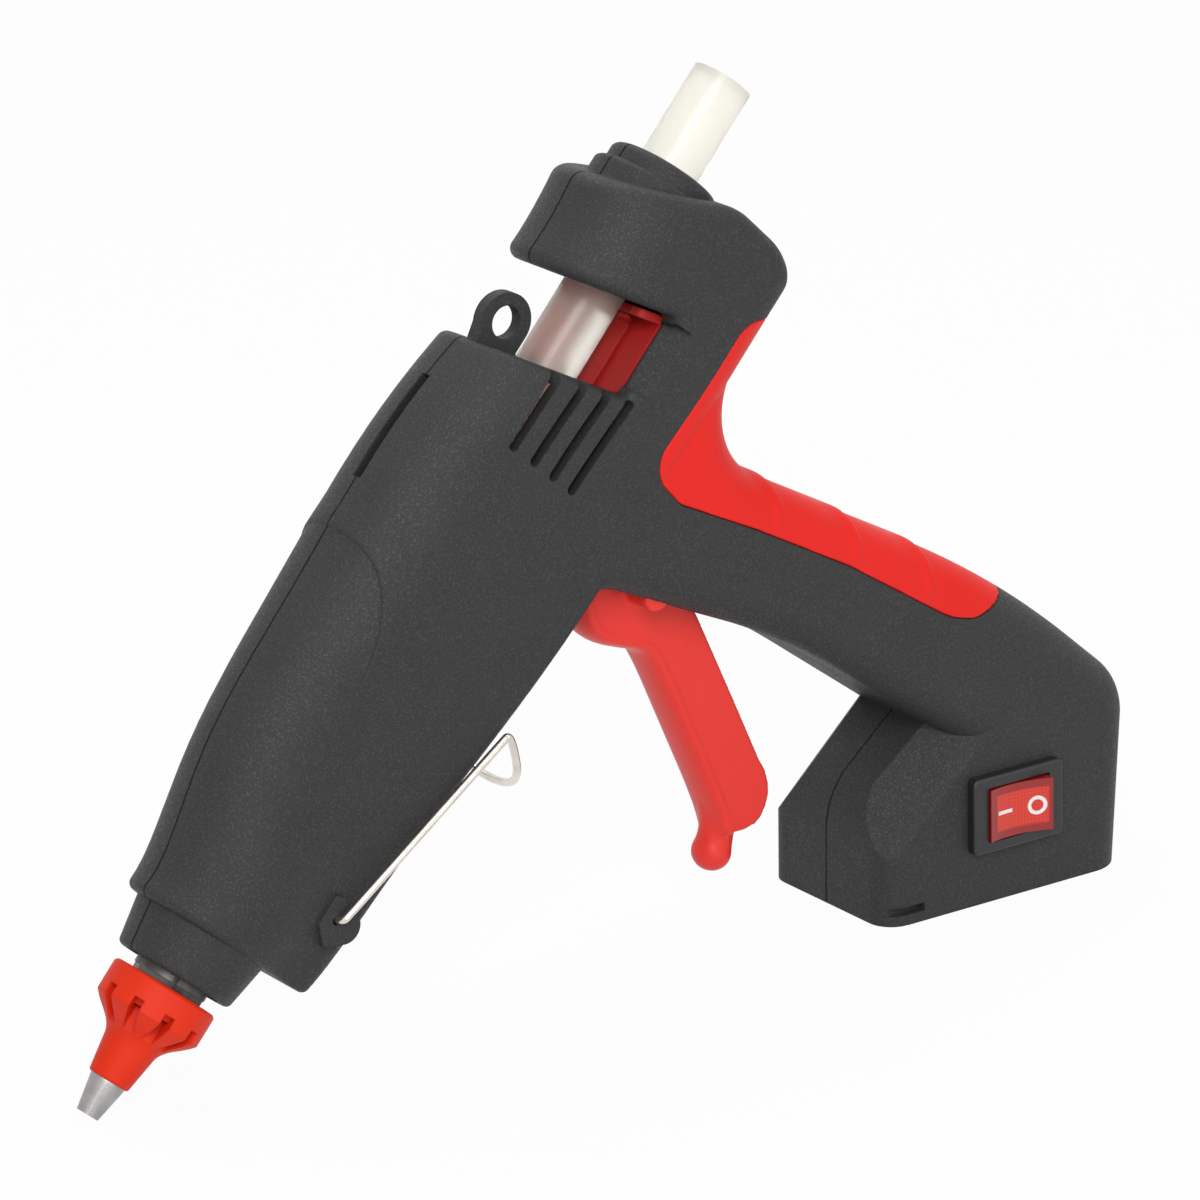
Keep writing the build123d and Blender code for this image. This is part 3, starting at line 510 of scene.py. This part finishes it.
def make_trigger():
    """Trigger: a flat lever behind a rounded front, which runs from the shield down to a ball."""
    rear_side = [
        (121.0, -33.6), (130.0, -30.5), (138.5, -37.0), (134.9, -50.0), (132.45, -55.8), (124.65, -72.7),
        (118.3, -86.2)]
    toe = [
        (117.4, -88.7), (116.0, -90.8), (114.3, -92.4), (112.2, -93.4), (109.9, -93.8), (107.8, -93.4),
        (106.0, -92.3), (104.8, -90.6)]
    finger_side = [(107.0, -86.6), (115.0, -69.5), (123.0, -51.6), (121.4, -42.0), (120.2, -38.0)]
    arm = [
        (126.9, -39.4), (133.1, -40.6), (138.3, -14.1), (137.5, -11.5), (135.2, -10.3), (132.9, -11.2),
        (132.0, -12.9)]
    front = [
        (123.6, -31.7), (120.4, -35.2), (119.5, -39.6), (121.2, -44.4), (123.0, -48.6), (122.8, -52.6),
        (114.76, -69.41), (106.6, -86.5), (104.0, -89.8)]
    throat = [(110.6, -80.6), (106.4, -88.0), (103.0, -90.6), (99.9, -91.7)]
    throat_radii = (2.6, 3.2, 3.4, 3.6)
    lever_half_width, arm_half_width = 4.65, 3.0
    front_depth, front_half_width = 2.0, 5.1
    ball, ball_radius, ball_stretch = spot(99.9, -91.7), 3.67 * mm, 1.12
    pivot, stub_radius, stub_length = spot(130.0, -40.0), 2.7 * mm, 22.2 * mm
    nub_rear, nub_top = 108.0, -84.0
    voxel = 0.32 * mm
    blank = bmesh.new()
    add_sweep(blank, [spot(s, w) for s, w in front], front_depth * mm)
    bmesh.ops.scale(blank, verts=blank.verts, vec=(1, front_half_width / front_depth, 1))
    add_plate(blank, rear_side + toe + finger_side, lever_half_width)
    add_plate(blank, arm, arm_half_width)
    add_sweep(blank, [spot(s, w) for s, w in throat], mm, throat_radii)
    bmesh.ops.create_uvsphere(
        blank, u_segments=32, v_segments=16, radius=ball_radius,
        matrix=Matrix.Translation(ball) @ Matrix.Diagonal((1, ball_stretch, 1, 1)))
    bmesh.ops.create_cone(
        blank, cap_ends=True, segments=48, radius1=stub_radius, radius2=stub_radius, depth=stub_length,
        matrix=Matrix.Translation(pivot) @ Matrix.Rotation(math.pi / 2, 4, "X"))
    bmesh.ops.recalc_face_normals(blank, faces=blank.faces)
    mesh = even(blank, voxel)
    soften(mesh, mesh.verts, 3)
    places = [(vert, *side_view(vert.co)) for vert in mesh.verts]
    soften(mesh, [vert for vert, s, w in places if s < nub_rear and w < nub_top], 18)
    dress("trigger_lever", mesh, "red", "trigger", "red_plastic", "trigger")


def make_step():
    """Styling step of the barrel: proud along an ellipse over the crown, and flush again behind it."""
    middle_s, middle_w, reach_s, reach_w = 76.0, 23.0, 31.5, 14.3
    core, crown_radius, crown = 6.9, 15.0, 21.9
    fade_start, fade_end, sink_end = 78.0, 92.0, 86.0
    proud, sunk, thickness, steps = 0.34 * mm, 0.1 * mm, 0.6 * mm, 120
    outside, nearly_up = 40.0 * mm, 0.99995
    # Factors on the ellipse, and the height of each row: a factor on proud or, below 0, on sunk
    rows = (0.982, 0.988, 0.995, 1.002, 1.01, 1.03, 1.06, 1.1, 1.15, 1.2, 1.26)
    heights = (-1.0, -0.2, 0.6, 0.95, 1.0, 0.95, 0.78, 0.5, 0.22, 0.04, -1.0)
    mesh = bmesh.new()
    for sign, shell in ((1, "left_shell"), (-1, "right_shell")):
        surface = skin_of(shell)
        lines = []
        for row, height in zip(rows, heights):
            start = math.asin((middle_w - crown) / (reach_w * row))
            line = []
            for number in range(steps + 1):
                angle = start + (math.pi / 2 - start) * number / steps
                s = middle_s + reach_s * row * math.cos(angle)
                w = middle_w - reach_w * row * math.sin(angle)
                turn = math.acos(min(max((w - core) / crown_radius, -1.0), nearly_up))
                out = up * math.cos(turn) + left * (sign * math.sin(turn))
                seat = surface.ray_cast(spot(s, core) + out * outside, -out)[0]
                rise = height * proud * smoothstep(fade_start, fade_end, s) if height > 0 else height * sunk
                rise -= sunk * smoothstep(sink_end, fade_start, s)
                place = seat + out * rise
                if number == 0:
                    place.y = 0.0
                line.append(mesh.verts.new(place))
            lines.append(line)
        for near, far in zip(lines, lines[1:]):
            for number in range(steps):
                mesh.faces.new((near[number], far[number], far[number + 1], near[number + 1]))
    close_up(mesh, 0.02 * mm)
    bmesh.ops.solidify(mesh, geom=mesh.faces, thickness=thickness)
    dress("barrel_step", mesh, "black", "housing", "black_shell")


def make_stand():
    """Wire stand bent in one easy loop."""
    wire_radius = 0.75 * mm
    half = (
        (50.7, -14.9, 9.6), (50.7, -14.9, 13.7), (53.5, -15.54, 13.7), (92.0, -24.37, 13.7),
        (95.0, -25.06, 13.7), (87.7, -37.6, 9.56))
    route = [spot(*point) for point in half] + [spot(s, w, -y) for s, w, y in reversed(half)]
    mesh = bmesh.new()
    add_sweep(mesh, route, wire_radius)
    close_up(mesh, 1e-6)
    dress("stand_wire", mesh, "wire", "stand", "bright_steel", "wire_stand")


def make_carriage():
    """Feed carriage, cut low in the window so that the stick shows all down its side."""
    front, plate_front, rear = 150.5, 166.6, 175.0
    floor_level, plate_level, over_stick = -6.6, -3.4, 9.0
    half_width, crease = 9.5, math.radians(30)
    block = bmesh.new()
    add_plate(block, [
        (front, floor_level), (plate_front, floor_level), (plate_front, plate_level), (rear, plate_level),
        (rear, over_stick), (front, over_stick)], half_width)
    bmesh.ops.recalc_face_normals(block, faces=block.faces)
    cutter = place_object("cutter", mesh_data("cutter", block))
    mesh = modified(merged_copy("feed_carriage"), "BOOLEAN", operation="DIFFERENCE", object=cutter)
    shape = cutter.data
    bpy.data.objects.remove(cutter)
    bpy.data.meshes.remove(shape)
    for edge in mesh.edges:
        edge.smooth = edge.calc_face_angle(0.0) < crease
    # Its darker red finish is painted shade
    dress("carriage_tray", mesh, "shaded_red", "carriage", "red_plastic", "feed_carriage")


def make_spring():
    """Return spring, which in the gun shortens as the carriage comes forward; here a smooth copy of it that
    rides on the housing.
    """
    start, end, level, travel = 108.5, 128.9, -14.6, 9.38
    mesh = merged_copy("return_spring")
    spring = dress("feed_spring", mesh, "steel", "housing", "spring_steel", "return_spring")
    tuple(spot(start, level))
    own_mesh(spring)


def make_lining():
    """Red lining behind the shroud's slots."""
    front, rear, inner, outer = 20.45, 24.0, 7.5, 8.25
    mesh = bmesh.new()
    corners = ((front, inner), (front, outer), (rear, outer), (rear, inner))
    section = [mesh.verts.new(spot(s, radius)) for s, radius in corners]
    sides = [mesh.edges.new((a, b)) for a, b in zip(section, section[1:] + section[:1])]
    bmesh.ops.spin(
        mesh, geom=section + sides, cent=spot(0, 0), axis=back, angle=math.tau, steps=96, use_merge=True)
    close_up(mesh, 1e-7)
    dress("shroud_lining", mesh, "shroud", "housing", "red_silicone")


def make_floor():
    """Pale floor; the eye sees it almost white, with a soft shadow."""
    half_size, glow_share = 6.0, 0.95
    finish = Finish("pale_floor", Specular_IOR_Level=0.0)
    finish.colour(rgb(0.82, 0.82, 0.82))
    finish.rough(0.9)
    glow = finish.node("ShaderNodeEmission", None, {"Color": white, "Strength": 1.0})
    blend = finish.node("ShaderNodeMixShader", None, {
        0: finish.seen() * glow_share, 1: finish.shader.outputs[0], 2: glow})
    finish.feed(finish.tree.nodes["Material Output"].inputs["Surface"], blend)
    mesh = bmesh.new()
    bmesh.ops.create_grid(mesh, x_segments=1, y_segments=1, size=half_size)
    data = mesh_data("floor", mesh)
    data.materials.append(finish.material)
    place_object("floor", data)


def make_lamp(name, place, aim, size, power):
    """Soft box."""
    lamp = bpy.data.lights.new(name, "AREA")
    lamp.shape = "RECTANGLE"
    lamp.size, lamp.size_y = size
    lamp.energy = power
    holder = place_object(name, lamp)
    holder.location = place
    holder.rotation_euler = (Vector(aim) - Vector(place)).to_track_quat("-Z", "Y").to_euler()


def make_studio():
    """White surround, a large top box, a key from the front left, a side box and a low fill."""
    world = bpy.data.worlds.new("studio")
    world.use_nodes = True
    scene.world = world
    studio = Tree(world.node_tree)
    sky = studio.tree.nodes["Background"]
    studio.feed(sky.inputs["Color"], white)
    studio.feed(sky.inputs["Strength"], 0.28)
    surround = studio.node("ShaderNodeBackground", None, {"Color": white, "Strength": 1.0})
    blend = studio.node("ShaderNodeMixShader", None, {0: studio.seen(), 1: sky.outputs[0], 2: surround})
    studio.feed(studio.tree.nodes["World Output"].inputs["Surface"], blend)
    aim = (0.08, 0, 0.08)
    make_lamp("top_box", (-0.05, -0.30, 1.05), aim, (0.9, 0.9), 6.0)
    make_lamp("key_box", (0.66, 0.80, 0.78), aim, (0.5, 0.5), 7.5)
    make_lamp("side_box", (-0.55, 0.95, 0.55), aim, (0.5, 0.9), 1.4)
    make_lamp("low_fill", (0.3, 1.1, 0.08), aim, (0.9, 0.3), 2.4)


def make_camera():
    """Camera at the photograph's viewpoint."""
    azimuth, elevation, roll = math.radians(54.2075), math.radians(19.2729), math.radians(-0.8943)
    aim, distance = Vector((0.080113, 0, 0.071102)), 1.070354
    toward = Vector((math.cos(azimuth), math.sin(azimuth), math.tan(elevation))).normalized()
    data = bpy.data.cameras.new("camera")
    data.sensor_width = 36.0
    data.lens = 180.0
    data.clip_end = 50.0
    camera = place_object("camera", data)
    turn = toward.to_track_quat("Z", "Y").to_matrix().to_4x4() @ Matrix.Rotation(roll, 4, "Z")
    camera.matrix_world = Matrix.Translation(aim + toward * distance) @ turn
    scene.camera = camera


make_grip()
make_trigger()
make_step()
make_stand()
make_carriage()
make_spring()
make_lining()
make_floor()
make_studio()
make_camera()
